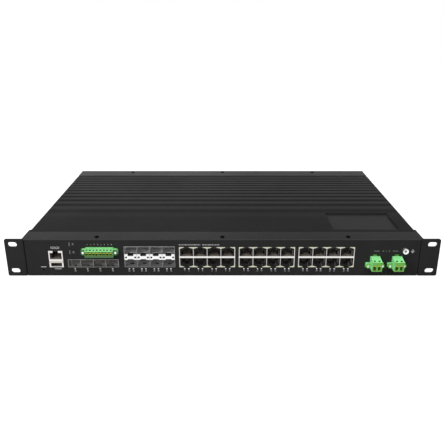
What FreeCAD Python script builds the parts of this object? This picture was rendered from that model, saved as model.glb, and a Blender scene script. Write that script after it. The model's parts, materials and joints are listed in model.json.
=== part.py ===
import FreeCAD, Part
import math
import os

# Rack-mounted ethernet switch, one unit high, cooled through its ribbed lid.
# Origin: centre of the four ear slots, on the plane where the ears meet the rack.
# X runs along the front panel, Y to the rear, Z up. All sizes are in millimetres.

# Rack ears
rack_width = 482.6
ear_width = 21.3
ear_sheet = 2.0
ear_bend = 1.2
ear_corner = 2.0
ear_leg = 27.0
slot_edge = 8.75
slot_pitch = 31.75
slot_length = 10.0
slot_width = 5.6
ear_gap = 0.8

# Case: depth, sheets and folds
depth = 283.0
panel_sheet = 1.5
tray_sheet = 1.2
bend_inside = 0.5
panel_corner = 0.4
front_flange = 23.2
rear_flange = 27.5
tray_lip = 10.0
seam_gap = 0.6

# Heights from the lower flange up to the tips of the ribs
standoff_height = 6.5
board_thickness = 1.6
stack_height = 24.4
head_room = 4.2
lid_plate = 3.0
fin_height = 2.0

# Ribs of the lid and the flat pocket between them
fin_pitch = 3.4
fin_foot = 1.7
fin_taper = 0.1
fin_gap = 1.7
pocket_width = 76.0
pocket_length = 53.0
pocket_edge = 16.0
pocket_front = 31.7

# Screw heads, drawn with few sides because they repeat, and standoffs
head_sides = 16
case_screw_radius = 2.5
case_screw_height = 0.7
case_screw_pitch = 140.0
case_screw_inset = 7.0
ear_screw_radius = 3.4
ear_screw_height = 1.8
ear_screw_inset = 14.0
ear_screw_rise = 12.0
standoff_flats = 5.0

# Front panel: gaps between the groups of ports, from the left edge to the right
gap_reset = 18.0
gap_console = 6.4
gap_sfp_plus = 5.25
gap_sfp = 6.5
gap_rj45 = 4.75
gap_block = 4.1
gap_power = 13.0
gap_plug = 3.8
gap_right = 15.2
window_gap = 0.3
port_proud = 0.5

# Stacked jack blocks
rj45_blocks = 3
rj45_columns = 4
jack_width = 11.9
jack_height = 7.0
jack_lip = 1.4
latch_slot = 6.0
latch_rise = 3.4
rj45_bar = 0.6
rj45_side = 0.85
mid_bar = 2.0
edge_bar = 0.8
latch_gap = 5.8
latch_relief = 3.0
shoulder_run = 3.6
shoulder_drop = 1.1
shield_sheet = 0.4
housing_depth = 13.5
insert_depth = 11.0
insert_gap = 0.2

# Small form-factor cages
sfp_columns = 4
sfp_pitch = 14.05
cage_wall = 0.4
cage_depth = 48.0
cell_height = 8.6
band_height = 6.8
band_notch_width = 6.4
band_notch_height = 2.2
band_notch_depth = 5.0
band_foot_notch = 0.9
sfp_latch_inset = 7.4
sfp_latch_width = 4.2
sfp_latch_length = 3.6
sfp_plus_latch_inset = 2.4
sfp_plus_latch_width = 2.7
sfp_plus_latch_length = 3.2
pipe_size = 1.4
pipe_fit = 0.2
pipe_offset = 5.1
pipe_rise = 0.5
pipe_tail = 2.0
edge_connector_width = 11.6
edge_connector_height = 5.6
edge_connector_depth = 9.0
card_slot_width = 9.6
card_slot_height = 1.4
card_slot_depth = 6.0

# Console connector: a jack above a flat serial socket
console_width = 15.7
console_height = 19.8
console_depth = 20.0
console_jack_floor = 9.7
console_jack_width = 11.7
console_jack_height = 7.7
console_window_margin = 0.7
console_notch = 6.0
console_cavity_depth = 13.0
usb_floor = 0.75
usb_width = 12.2
usb_height = 4.5
tongue_width = 10.6
tongue_thickness = 1.9
tongue_depth = 9.5

# Reset push button behind its pin hole
reset_hole = 2.0
reset_body_width = 6.0
reset_body_height = 3.4
reset_body_depth = 5.0
reset_setback = 3.6
reset_plunger = 1.8
reset_plunger_out = 1.4
reset_plunger_in = 2.0
reset_clearance = 0.15
reset_travel = 0.3

# Signal terminal on its own small board above the lower cage
alarm_poles = 8
alarm_pitch = 3.81
alarm_flange = 5.1
alarm_offset = 8.15
alarm_height = 9.7
alarm_reach = 8.0
alarm_slope_run = 7.2
alarm_slope_drop = 2.3
alarm_foot_run = 0.6
alarm_foot_rise = 2.2
alarm_entry_width = 2.9
alarm_entry_height = 3.9
alarm_entry_top = 2.85
alarm_well_inset = 2.7
alarm_well = 2.0
alarm_jaw_drop = 1.0
alarm_flange_height = 6.9
alarm_flange_foot = 0.85
alarm_header_height = 8.6
io_clearance = 4.0
io_board_depth = 72.0
io_board_margin = 2.0
io_post_front = 53.0
io_post_pitch = 14.0
io_post_spread = 40.0

# Power terminals
power_poles = 2
power_pitch = 5.08
power_flange = 5.2
power_height = 13.6
power_reach = 12.5
power_slope_run = 11.5
power_slope_drop = 2.3
power_foot_run = 0.5
power_foot_rise = 0.9
power_entry_width = 3.6
power_entry_height = 5.8
power_entry_top = 6.3
power_well_inset = 2.6
power_well = 2.4
power_jaw_drop = 0.3
power_flange_height = 5.6
power_flange_foot = 0.2
power_header_height = 13.0
power_tab_width = 4.4
power_tab_height = 2.0
power_tab_setback = 1.0

# Shared by both kinds of terminal
header_depth = 9.0
header_wall = 1.1
header_back = 1.5
plug_fit = 0.2
plug_cheek = 0.25
flange_thickness = 4.0
flange_corner = 1.6
entry_depth = 6.5
jaw_inset = 0.7
jaw_depth = 5.0
jaw_height = 0.85

# Boards
board_edge = 10.0
board_front = 4.0
board_gap = 2.0
main_board_depth = 160.0
power_board_depth = 130.0
post_inset = 8.0
post_behind_cage = 11.0

# Lights: square clear bars from the board's edge to the panel
light_size = 1.3
light_fit = 0.05
light_pair = 4.6
light_length = 12.0
system_lights = 2
system_light_pitch = 9.6
system_light_head = 0.95
system_block_width = 3.6
system_block_depth = 6.0
system_block_setback = 2.0

# Chips and their heat path to the lid
switch_chip_size = 35.0
switch_chip_behind = 60.0
line_chip_size = 22.0
line_chip_behind = 20.0
cpu_chip_size = 25.0
cpu_chip_behind = 44.0
memory_chip_width = 10.0
memory_chip_length = 13.0
memory_chip_height = 1.2
memory_chip_gap = 4.0
chip_height = 2.4
pad_thickness = 1.0
heat_block_margin = 3.0

# Power conversion
transformer_width = 26.0
transformer_depth = 24.0
transformer_height = 19.0
transformer_behind = 30.0
winding_margin = 3.0
winding_bulge = 2.0
capacitor_width = 9.0
capacitor_depth = 18.0
capacitor_height = 16.0
capacitor_count = 3
capacitor_pitch = 14.0
capacitor_behind = 12.0
link_width = 9.0
link_length = 24.0
link_height = 7.0
link_behind = 70.0

# Earth screw
earth_edge = 16.9
earth_drop = 14.0
earth_radius = 3.6
earth_height = 2.6

# Places that follow from the sizes above
panel_height = (panel_sheet + tray_sheet + standoff_height + board_thickness
                + stack_height + head_room + lid_plate + fin_height)
half_width = rack_width / 2 - ear_width
z_top = panel_height / 2
z_bottom = -z_top
z_tray = z_bottom + panel_sheet
z_floor = z_tray + tray_sheet
z_board = z_floor + standoff_height
z_deck = z_board + board_thickness
z_mid = z_deck + stack_height / 2
z_stack = z_deck + stack_height
z_root = z_top - fin_height
z_lid = z_root - lid_plate
y_face = -ear_sheet
y_panel = y_face + panel_sheet
y_rear = y_face + depth
y_rear_inside = y_rear - panel_sheet
y_port = y_face - port_proud
y_posts = y_port + cage_depth + post_behind_cage
rj45_window = jack_width + 2 * jack_lip
rj45_pitch = rj45_window + rj45_bar
rj45_width = rj45_columns * rj45_window + (rj45_columns - 1) * rj45_bar + 2 * rj45_side
rj45_depth = housing_depth + insert_depth + 2 * shield_sheet
sfp_width = sfp_columns * sfp_pitch + cage_wall
sfp_cell = sfp_pitch - cage_wall
z_band = z_deck + cage_wall + cell_height
sfp_height = 2 * (cage_wall + cell_height) + band_height
sfp_plus_height = cell_height + 2 * cage_wall
z_io_board = z_deck + sfp_plus_height + io_clearance
z_io_deck = z_io_board + board_thickness
alarm_width = alarm_poles * alarm_pitch + 2 * alarm_flange
power_width = power_poles * power_pitch + 2 * power_flange
z_light = z_board - light_size / 2
z_reset = z_board - reset_body_height / 2
x_earth = half_width - earth_edge
z_earth = z_top - earth_drop


def panel_row():
    """Centre of each group on the panel; spare width is shared over the gaps in proportion."""
    row = [("reset", reset_hole, gap_reset), ("console", console_width, gap_console),
           ("sfp_plus", sfp_width, gap_sfp_plus), ("sfp", sfp_width, gap_sfp)]
    for block in range(rj45_blocks):
        row.append((f"rj45_{block + 1}", rj45_width, gap_block if block else gap_rj45))
    row.append(("power_1", power_width, gap_power))
    row.append(("power_2", power_width, gap_plug))
    widths = sum(width for name, width, gap in row)
    gaps = gap_right + sum(gap for name, width, gap in row)
    spread = (2 * half_width - widths) / gaps
    centres = {}
    x = -half_width
    for name, width, gap in row:
        x += gap * spread
        centres[name] = x + width / 2
        x += width
    return centres


centre = panel_row()
rj45_centres = [centre[f"rj45_{block + 1}"] for block in range(rj45_blocks)]
power_centres = [centre["power_1"], centre["power_2"]]
x_alarm = centre["sfp_plus"] + alarm_offset
x_split = (rj45_centres[-1] + rj45_width / 2 + power_centres[0] - power_width / 2) / 2
x_board_left = -half_width + board_edge
x_board_right = half_width - board_edge
x_link = x_split


# Solids from sections, boxes and rods

def at(x, y, z):
    return FreeCAD.Vector(x, y, z)


def outline(points, radii):
    """Flat face through the points, with an arc at each corner that has a radius."""
    corners = []
    for i, corner in enumerate(points):
        radius = radii.get(i, 0)
        if radius <= 0:
            corners.append((corner, None, corner))
            continue
        before = (points[i - 1] - corner).normalize()
        after = (points[(i + 1) % len(points)] - corner).normalize()
        half_angle = before.getAngle(after) / 2
        reach = radius / math.tan(half_angle)
        inward = (before + after).normalize()
        crown = corner + inward * (radius / math.sin(half_angle) - radius)
        corners.append((corner + before * reach, crown, corner + after * reach))
    edges = []
    for i, (start, crown, end) in enumerate(corners):
        if crown is not None:
            edges.append(Part.Arc(start, crown, end).toShape())
        following = corners[(i + 1) % len(corners)][0]
        edges.append(Part.LineSegment(end, following).toShape())
    return Part.Face(Part.Wire(edges))


def along_x(points, x0, x1, radii={}):
    face = outline([at(x0, y, z) for y, z in points], radii)
    return face.extrude(at(x1 - x0, 0, 0))


def along_y(points, y0, y1, radii={}):
    face = outline([at(x, y0, z) for x, z in points], radii)
    return face.extrude(at(0, y1 - y0, 0))


def along_z(points, z0, z1, radii={}):
    face = outline([at(x, y, z0) for x, y in points], radii)
    return face.extrude(at(0, 0, z1 - z0))


def box(x0, x1, y0, y1, z0, z1):
    return Part.makeBox(x1 - x0, y1 - y0, z1 - z0, at(x0, y0, z0))


def block(x, width, y0, y1, z0, z1):
    return box(x - width / 2, x + width / 2, y0, y1, z0, z1)


def rod(start, direction, radius, length):
    return Part.makeCylinder(radius, length, start, direction)


def prism(start, direction, radius, sides, length):
    """Upright regular prism whose first corner lies sideways of the axis."""
    corner = direction.cross(at(0, 1, 0)) * radius
    turn = FreeCAD.Rotation(direction, 360 / sides)
    points = []
    for side in range(sides):
        points.append(start + corner)
        corner = turn.multVec(corner)
    return outline(points, {}).extrude(direction * length)


def cut(shape, tools):
    return shape.cut(tools).removeSplitter().Solids[0]


def join(shape, others):
    return shape.fuse(others).removeSplitter().Solids[0]


def save(node, solids):
    shape = solids[0] if len(solids) == 1 else Part.makeCompound(solids)
    shape.exportStep(f"parts/{node}.step")


# Case

def case_screw_heads():
    return [prism(at(step * case_screw_pitch, y, z_top), at(0, 0, 1), case_screw_radius, head_sides, case_screw_height)
            for y in (y_face + case_screw_inset, y_rear - case_screw_inset) for step in (-1, 0, 1)]


def ear_screw_heads():
    return [prism(at(side * (half_width + ear_sheet), ear_screw_inset, rise * ear_screw_rise), at(side, 0, 0),
                  ear_screw_radius, head_sides, ear_screw_height) for side in (-1, 1) for rise in (-1, 1)]


def rack_ear(side):
    inner = side * half_width
    leg = side * (half_width + ear_sheet)
    outer = side * (half_width + ear_width)
    ear = along_z([(inner, y_face), (outer, y_face), (outer, 0), (leg, 0), (leg, ear_leg), (inner, ear_leg)],
                  z_bottom, z_top, {0: ear_bend})
    corners = [edge for edge in ear.Edges
               if abs(edge.BoundBox.XMin - outer) < 0.01 and abs(edge.BoundBox.XMax - outer) < 0.01
               and edge.BoundBox.YLength > ear_sheet / 2]
    ear = ear.makeFillet(ear_corner, corners)
    slot_x = side * (rack_width / 2 - slot_edge)
    tools = []
    for z in (-slot_pitch / 2, slot_pitch / 2):
        radius = slot_width / 2
        straight = (slot_length - slot_width) / 2
        tools.append(block(slot_x, 2 * straight, y_face - 1, 1, z - radius, z + radius))
        for end in (-straight, straight):
            tools.append(rod(at(slot_x + end, y_face - 1, z), at(0, 1, 0), radius, ear_sheet + 2))
    return cut(ear, tools)


def port_windows():
    """Openings in the panel for the connectors, each a clearance larger than the connector."""
    windows = []

    def window(x, width, z0, z1):
        windows.append(block(x, width + 2 * window_gap, y_face - 1, y_panel + 1,
                             z0 - window_gap, z1 + window_gap))

    window(centre["console"], console_width, z_deck, z_deck + console_height)
    window(centre["sfp_plus"], sfp_width, z_deck, z_deck + sfp_plus_height)
    window(centre["sfp"], sfp_width, z_deck, z_deck + sfp_height)
    for x in rj45_centres:
        window(x, rj45_width, z_deck, z_stack)
    for terminal in [alarm] + power:
        for width, z0, z1 in terminal.openings():
            window(terminal.x, width, z0, z1)
    return windows


def front_panel():
    edge = y_face + front_flange
    z_fold = z_top - panel_sheet
    panel = along_x([(y_face, z_top), (edge, z_top), (edge, z_fold), (y_panel, z_fold),
                     (y_panel, z_tray), (edge, z_tray), (edge, z_bottom), (y_face, z_bottom)],
                    -half_width, half_width, {0: panel_corner, 3: bend_inside, 4: bend_inside, 7: panel_corner})
    holes = port_windows()
    holes += [block(side * half_width, 2 * ear_gap, y_face - 1, y_panel, z_bottom - 1, z_fold) for side in (-1, 1)]
    holes += [light_bar(x, z, y_face - 1, y_panel + 1, light_size + 2 * light_fit) for x, z in light_places()]
    holes.append(rod(at(centre["reset"], y_face - 1, z_reset), at(0, 1, 0), reset_hole / 2, panel_sheet + 2))
    return cut(panel, holes)


def rear_panel():
    edge = y_rear - rear_flange
    return along_x([(y_rear, z_top), (edge, z_top), (edge, z_top - panel_sheet),
                    (y_rear_inside, z_top - panel_sheet), (y_rear_inside, z_tray),
                    (edge, z_tray), (edge, z_bottom), (y_rear, z_bottom)],
                   -half_width, half_width, {0: panel_corner, 3: bend_inside, 4: bend_inside, 7: panel_corner})


def bottom_tray():
    lip = half_width - tray_lip
    wall = half_width - tray_sheet
    z_lip = z_lid - tray_sheet
    corner = bend_inside + tray_sheet
    right = [(half_width, z_tray), (half_width, z_lid), (lip, z_lid), (lip, z_lip), (wall, z_lip), (wall, z_floor)]
    left = [(-x, z) for x, z in reversed(right)]
    radii = {0: corner, 1: corner, 4: bend_inside, 5: bend_inside,
             6: bend_inside, 7: bend_inside, 10: corner, 11: corner}
    return along_y(right + left, y_panel + seam_gap, y_rear_inside - seam_gap, radii)


def ribbed_lid():
    front = y_panel + seam_gap
    back = y_rear_inside - seam_gap
    front_step = y_face + front_flange
    back_step = y_rear - rear_flange
    z_tongue = z_top - panel_sheet
    first = front_step + fin_gap
    fins = int((back_step - fin_gap - fin_foot - first) / fin_pitch) + 1
    profile = [(front, z_lid), (back, z_lid), (back, z_tongue), (back_step, z_tongue), (back_step, z_root)]
    for fin in reversed(range(fins)):
        y = first + fin * fin_pitch
        profile.append((y + fin_foot, z_root))
        profile.append((y + fin_foot - fin_taper, z_top))
        profile.append((y + fin_taper, z_top))
        profile.append((y, z_root))
    profile += [(front_step, z_root), (front_step, z_tongue), (front, z_tongue)]
    lid = along_x(profile, -half_width, half_width)
    pocket_right = half_width - pocket_edge
    pocket_y = y_face + pocket_front
    pocket = box(pocket_right - pocket_width, pocket_right, pocket_y, pocket_y + pocket_length, z_root, z_top + 1)
    return cut(lid, [pocket])


# Jack blocks

def jack_columns(x):
    first = x - (rj45_columns - 1) * rj45_pitch / 2
    return [first + column * rj45_pitch for column in range(rj45_columns)]


def jack_window(x, up):
    """Opening in the shield's face for one jack, with sloped shoulders and a gap for the latch."""
    foot = z_mid + up * mid_bar / 2
    head = z_mid + up * (stack_height / 2 - edge_bar)
    out = z_mid + up * (stack_height / 2 + 1)
    side = rj45_window / 2
    gap = latch_gap / 2
    right = [(side, foot), (side, head - up * shoulder_drop), (side - shoulder_run, head), (gap, head), (gap, out)]
    left = [(-dx, z) for dx, z in reversed(right)]
    return along_y([(x + dx, z) for dx, z in right + left], y_port - 1, y_port + shield_sheet)


def rj45_shield(x):
    left = x - rj45_width / 2
    right = x + rj45_width / 2
    back = y_port + rj45_depth
    can = box(left, right, y_port, back, z_deck, z_stack)
    tools = [box(left + shield_sheet, right - shield_sheet, y_port + shield_sheet, back - shield_sheet,
                 z_deck - 1, z_stack - shield_sheet)]
    for column in jack_columns(x):
        tools.append(jack_window(column, 1))
        tools.append(jack_window(column, -1))
        tools.append(block(column, latch_gap, y_port - 1, y_port + latch_relief,
                           z_stack - shield_sheet, z_stack + 1))
    return cut(can, tools)


def jack_cavity(x, up, y0, y1):
    foot = z_mid + up * mid_bar / 2
    head = foot + up * jack_height
    top = head + up * latch_rise
    side = jack_width / 2
    slot = latch_slot / 2
    right = [(side, foot), (side, head), (slot, head), (slot, top)]
    left = [(-dx, z) for dx, z in reversed(right)]
    return along_y([(x + dx, z) for dx, z in right + left], y0, y1)


def rj45_housing(x):
    front = y_port + shield_sheet
    back = front + housing_depth
    body = block(x, rj45_width - 2 * shield_sheet, front, back, z_deck, z_stack - shield_sheet)
    cavities = []
    for column in jack_columns(x):
        for up in (1, -1):
            cavities.append(jack_cavity(column, up, front - 1, back + 1))
    return cut(body, cavities)


def rj45_inserts(x):
    front = y_port + shield_sheet + housing_depth
    return [block(column, rj45_pitch - insert_gap, front, front + insert_depth, z_deck, z_stack - shield_sheet)
            for column in jack_columns(x)]


# Small form-factor cages

def cage_columns(x):
    first = x - (sfp_columns - 1) * sfp_pitch / 2
    return [first + column * sfp_pitch for column in range(sfp_columns)]


def pipe_places():
    return [x + side * pipe_offset for x in cage_columns(centre["sfp"]) for side in (-1, 1)]


def z_pipe():
    return z_band + band_height / 2 - pipe_rise


def cage_shell(x, height):
    back = y_port + cage_depth
    shell = block(x, sfp_width, y_port, back, z_deck, z_deck + height)
    room = block(x, sfp_width - 2 * cage_wall, y_port - 1, back - cage_wall, z_deck - 1, z_deck + height - cage_wall)
    return cut(shell, [room])


def sfp_cage():
    back = y_port + cage_depth
    hole = pipe_size + 2 * pipe_fit
    holes = [block(x, hole, back - cage_wall - 1, back + 1, z_pipe() - hole / 2, z_pipe() + hole / 2)
             for x in pipe_places()]
    return cut(cage_shell(centre["sfp"], sfp_height), holes)


def cage_base(x, latch_inset, latch_width, latch_length):
    base = block(x, sfp_width - 2 * cage_wall, y_port, y_port + cage_depth - cage_wall, z_deck, z_deck + cage_wall)
    latch = y_port + latch_inset
    holes = [block(column, latch_width, latch, latch + latch_length, z_deck - 1, z_deck + cage_wall + 1)
             for column in cage_columns(x)]
    return cut(base, holes)


def cage_dividers(x, height):
    first = x - sfp_width / 2
    return [box(first + wall * sfp_pitch, first + wall * sfp_pitch + cage_wall,
                y_port, y_port + cage_depth - cage_wall, z_deck + cage_wall, z_deck + height - cage_wall)
            for wall in range(1, sfp_columns)]


def sfp_separators():
    """Folded bands between the two rows, notched for the latches, with holes for the light pipes."""
    z_head = z_band + band_height
    back = y_port + cage_depth - cage_wall
    hole = pipe_size + 2 * pipe_fit
    bands = []
    for x in cage_columns(centre["sfp"]):
        band = block(x, sfp_cell, y_port, back, z_band, z_head)
        tools = [block(x, sfp_cell + 2, y_port + cage_wall, back + 1, z_band + cage_wall, z_head - cage_wall)]
        tools.append(block(x, band_notch_width, y_port - 1, y_port + band_notch_depth,
                           z_head - band_notch_height, z_head + 1))
        tools.append(block(x, band_notch_width, y_port - 1, y_port + band_notch_depth,
                           z_band - 1, z_band + band_foot_notch))
        for side in (-1, 1):
            tools.append(block(x + side * pipe_offset, hole, y_port - 1, y_port + cage_wall,
                               z_pipe() - hole / 2, z_pipe() + hole / 2))
        bands.append(cut(band, tools))
    return bands


def sfp_light_pipes():
    back = y_port + cage_depth + pipe_tail
    low = z_pipe() - pipe_size / 2
    high = z_pipe() + pipe_size / 2
    profile = [(y_port, low), (back - pipe_size, low), (back - pipe_size, z_deck), (back, z_deck),
               (back, high), (y_port, high)]
    return [along_x(profile, x - pipe_size / 2, x + pipe_size / 2) for x in pipe_places()]


def edge_connectors(x, floors):
    back = y_port + cage_depth - cage_wall
    front = back - edge_connector_depth
    connectors = []
    for column in cage_columns(x):
        for floor in floors:
            body = block(column, edge_connector_width, front, back, floor, floor + edge_connector_height)
            slot_z = floor + edge_connector_height / 2
            slot = block(column, card_slot_width, front - 1, front + card_slot_depth,
                         slot_z - card_slot_height / 2, slot_z + card_slot_height / 2)
            connectors.append(cut(body, [slot]))
    return connectors


# Console connector and reset button

def console_openings(y0, y1, z_out, margin):
    x = centre["console"]
    foot = z_deck + console_jack_floor
    side = console_jack_width / 2 + margin
    slot = console_notch / 2
    head = foot + console_jack_height
    right = [(side, foot), (side, head), (slot, head), (slot, z_out)]
    left = [(-dx, z) for dx, z in reversed(right)]
    jack = along_y([(x + dx, z) for dx, z in right + left], y0, y1)
    usb = block(x, usb_width, y0, y1, z_deck + usb_floor, z_deck + usb_floor + usb_height)
    return [jack, usb]


def console_shield():
    x = centre["console"]
    back = y_port + console_depth
    z_head = z_deck + console_height
    can = block(x, console_width, y_port, back, z_deck, z_head)
    room = block(x, console_width - 2 * shield_sheet, y_port + shield_sheet, back - shield_sheet,
                 z_deck - 1, z_head - shield_sheet)
    relief = block(x, console_notch, y_port - 1, y_port + latch_relief, z_head - shield_sheet, z_head + 1)
    openings = console_openings(y_port - 1, y_port + shield_sheet, z_head + 1, console_window_margin)
    return cut(can, [room, relief] + openings)


def console_housing():
    x = centre["console"]
    front = y_port + shield_sheet
    back = y_port + console_depth - shield_sheet
    z_head = z_deck + console_height - shield_sheet
    body = block(x, console_width - 2 * shield_sheet, front, back, z_deck, z_head)
    z_notch = z_deck + console_jack_floor + console_jack_height + latch_rise / 2
    return cut(body, console_openings(front - 1, front + console_cavity_depth, z_notch, 0))


def usb_tongue():
    back = y_port + shield_sheet + console_cavity_depth
    z_head = z_deck + usb_floor + usb_height
    return block(centre["console"], tongue_width, back - tongue_depth, back, z_head - tongue_thickness, z_head)


def reset_switch():
    front = y_panel + reset_setback
    body = block(centre["reset"], reset_body_width, front, front + reset_body_depth,
                 z_board - reset_body_height, z_board)
    well = reset_plunger + 2 * reset_clearance
    depth_in = reset_plunger_in + reset_travel + reset_clearance
    return cut(body, [block(centre["reset"], well, front - 1, front + depth_in,
                            z_reset - well / 2, z_reset + well / 2)])


def reset_button():
    front = y_panel + reset_setback
    return block(centre["reset"], reset_plunger, front - reset_plunger_out, front + reset_plunger_in,
                 z_reset - reset_plunger / 2, z_reset + reset_plunger / 2)


# Pluggable screw terminals

class Terminal:
    """One header with its plug: poles in a row about x, the header's foot on a board at z_foot."""

    def __init__(self, x, z_foot):
        self.x = x
        self.z_foot = z_foot
        self.z_head = z_foot + self.header_height
        self.body = self.poles * self.pitch + 2 * plug_cheek
        self.width = self.poles * self.pitch + 2 * self.flange
        self.z_low = (self.z_foot + self.z_head - self.height) / 2
        self.z_high = self.z_low + self.height
        self.z_flange = z_foot + self.flange_foot
        self.z_entry = self.z_high - self.entry_top
        self.front = y_face - self.reach

    def pole_places(self):
        first = self.x - (self.poles - 1) * self.pitch / 2
        return [first + pole * self.pitch for pole in range(self.poles)]

    def sections(self):
        """Width, foot and head of each block in the header's outline: the body and its flanges."""
        return [(self.body, self.z_foot, self.z_head),
                (self.width, self.z_flange, self.z_flange + self.flange_height)]

    def openings(self):
        """What the panel is cut away for, apart from the gap all round."""
        return self.sections()

    def header(self):
        back = y_face + header_depth
        blocks = [block(self.x, width, y_face, back, z0, z1) for width, z0, z1 in self.sections()]
        room = block(self.x, self.body - 2 * header_wall, y_face - 1, back - header_back,
                     self.z_foot + header_wall, self.z_head - header_wall)
        return cut(join(blocks[0], blocks[1:]), [room])

    def flange_outline(self):
        """Outline across both flanges, with the corners cut off."""
        side = self.width / 2
        foot = self.z_flange
        head = foot + self.flange_height
        right = [(side - flange_corner, foot), (side, foot + flange_corner),
                 (side, head - flange_corner), (side - flange_corner, head)]
        left = [(-dx, z) for dx, z in reversed(right)]
        return [(self.x + dx, z) for dx, z in right + left]

    def plug(self):
        profile = [(y_face, self.z_low), (y_face, self.z_high), (self.front + self.slope_run, self.z_high),
                   (self.front, self.z_high - self.slope_drop), (self.front, self.z_low + self.foot_rise),
                   (self.front + self.foot_run, self.z_low)]
        body = along_x(profile, self.x - self.body / 2, self.x + self.body / 2)
        margin = header_wall + plug_fit
        nose = block(self.x, self.body - 2 * margin, y_face, y_face + header_depth - header_back - plug_fit,
                     self.z_foot + margin, self.z_head - margin)
        flanges = along_y(self.flange_outline(), y_face - flange_thickness, y_face)
        tools = []
        for x in self.pole_places():
            tools.append(block(x, self.entry_width, self.front - 1, self.front + entry_depth,
                               self.z_entry - self.entry_height, self.z_entry))
            y_well = self.front + self.well_inset
            tools.append(block(x, self.well, y_well - self.well / 2, y_well + self.well / 2,
                               self.z_entry - self.entry_height / 2, self.z_high + 1))
        return cut(join(body, [nose, flanges]), tools)

    def jaws(self):
        """Metal clamping plates across the wire entries, under the screw wells."""
        head = self.z_entry - self.jaw_drop
        front = self.front + jaw_inset
        return [block(x, self.entry_width, front, front + jaw_depth, head - jaw_height, head)
                for x in self.pole_places()]


class SignalTerminal(Terminal):
    poles = alarm_poles
    pitch = alarm_pitch
    flange = alarm_flange
    height = alarm_height
    reach = alarm_reach
    slope_run = alarm_slope_run
    slope_drop = alarm_slope_drop
    foot_run = alarm_foot_run
    foot_rise = alarm_foot_rise
    entry_width = alarm_entry_width
    entry_height = alarm_entry_height
    entry_top = alarm_entry_top
    well_inset = alarm_well_inset
    well = alarm_well
    jaw_drop = alarm_jaw_drop
    flange_height = alarm_flange_height
    flange_foot = alarm_flange_foot
    header_height = alarm_header_height


class PowerTerminal(Terminal):
    poles = power_poles
    pitch = power_pitch
    flange = power_flange
    height = power_height
    reach = power_reach
    slope_run = power_slope_run
    slope_drop = power_slope_drop
    foot_run = power_foot_run
    foot_rise = power_foot_rise
    entry_width = power_entry_width
    entry_height = power_entry_height
    entry_top = power_entry_top
    well_inset = power_well_inset
    well = power_well
    jaw_drop = power_jaw_drop
    flange_height = power_flange_height
    flange_foot = power_flange_foot
    header_height = power_header_height

    def header(self):
        """The header also has a small latch tab on its head, set back from the panel's face."""
        tab = block(self.x, power_tab_width, y_face + power_tab_setback, y_face + header_depth,
                    self.z_head, self.z_head + power_tab_height)
        return join(super().header(), [tab])

    def openings(self):
        return super().openings() + [(power_tab_width, self.z_head, self.z_head + power_tab_height)]


alarm = SignalTerminal(x_alarm, z_io_deck)
power = [PowerTerminal(x, z_deck) for x in power_centres]


# Lights

def port_light_places():
    """Two lights under each stacked column, one under each column of the single row."""
    columns = cage_columns(centre["sfp"])
    for x in rj45_centres:
        columns += jack_columns(x)
    places = [x + side * light_pair / 2 for x in columns for side in (-1, 1)]
    return places + cage_columns(centre["sfp_plus"])


def system_light_heights():
    highest = z_lid - system_light_head
    return [highest - step * system_light_pitch for step in range(system_lights)]


def x_system_lights():
    return cage_columns(centre["sfp_plus"])[0]


def light_places():
    places = [(x, z_light) for x in port_light_places()]
    return places + [(x_system_lights(), z) for z in system_light_heights()]


def light_bar(x, z, y0, y1, size):
    return block(x, size, y0, y1, z - size / 2, z + size / 2)


def port_light_bars():
    return [light_bar(x, z_light, y_face, y_face + light_length, light_size) for x in port_light_places()]


def system_light_tower():
    """Clear moulding that stands on the terminal board and carries the system lights."""
    x = x_system_lights()
    front = y_panel + system_block_setback
    heights = system_light_heights()
    tower = block(x, system_block_width, front, front + system_block_depth, z_io_deck, heights[0] + light_size / 2)
    return join(tower, [light_bar(x, z, y_face, front, light_size) for z in heights])


# Boards, standoffs and what stands on the boards

def main_board_box():
    return x_board_left, x_split - board_gap / 2, board_front, board_front + main_board_depth


def power_board_box():
    return x_split + board_gap / 2, x_board_right, board_front, board_front + power_board_depth


def io_board_box():
    left = x_system_lights() - system_block_width / 2 - io_board_margin
    right = x_alarm + alarm_width / 2 + io_board_margin
    front = y_panel + seam_gap
    return left, right, front, front + io_board_depth


def main_posts():
    x0, x1, y0, y1 = main_board_box()
    return [(x, y) for x in (x0 + post_inset, (x0 + x1) / 2, x1 - post_inset) for y in (y_posts, y1 - post_inset)]


def power_posts():
    x0, x1, y0, y1 = power_board_box()
    return [(x, y) for x in (x0 + post_inset, x1 - post_inset) for y in (y_posts, y1 - post_inset)]


def io_posts():
    x = centre["sfp_plus"]
    return [(x + side * io_post_spread / 2, y_port + io_post_front + step * io_post_pitch)
            for side in (-1, 1) for step in (0, 1)]


def board(outline_box, z0):
    x0, x1, y0, y1 = outline_box
    return box(x0, x1, y0, y1, z0, z0 + board_thickness)


def standoffs(posts, z0, z1):
    corner = standoff_flats / math.sqrt(3)
    return [prism(at(x, y, z0), at(0, 0, 1), corner, 6, z1 - z0) for x, y in posts]


def cooled_chips():
    """Place and size of each chip that is cooled through the lid."""
    chips = [(x, y_posts + line_chip_behind, line_chip_size) for x in rj45_centres]
    chips.append((rj45_centres[rj45_blocks // 2], y_posts + switch_chip_behind, switch_chip_size))
    chips.append((centre["sfp"], y_posts + cpu_chip_behind, cpu_chip_size))
    return chips


def square_on(x, y, size, z0, z1):
    return block(x, size, y - size / 2, y + size / 2, z0, z1)


def chip_solids():
    return [square_on(x, y, size, z_deck, z_deck + chip_height) for x, y, size in cooled_chips()]


def thermal_pads():
    z0 = z_deck + chip_height
    return [square_on(x, y, size, z0, z0 + pad_thickness) for x, y, size in cooled_chips()]


def heat_blocks():
    z0 = z_deck + chip_height + pad_thickness
    return [square_on(x, y, size + heat_block_margin, z0, z_lid) for x, y, size in cooled_chips()]


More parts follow.
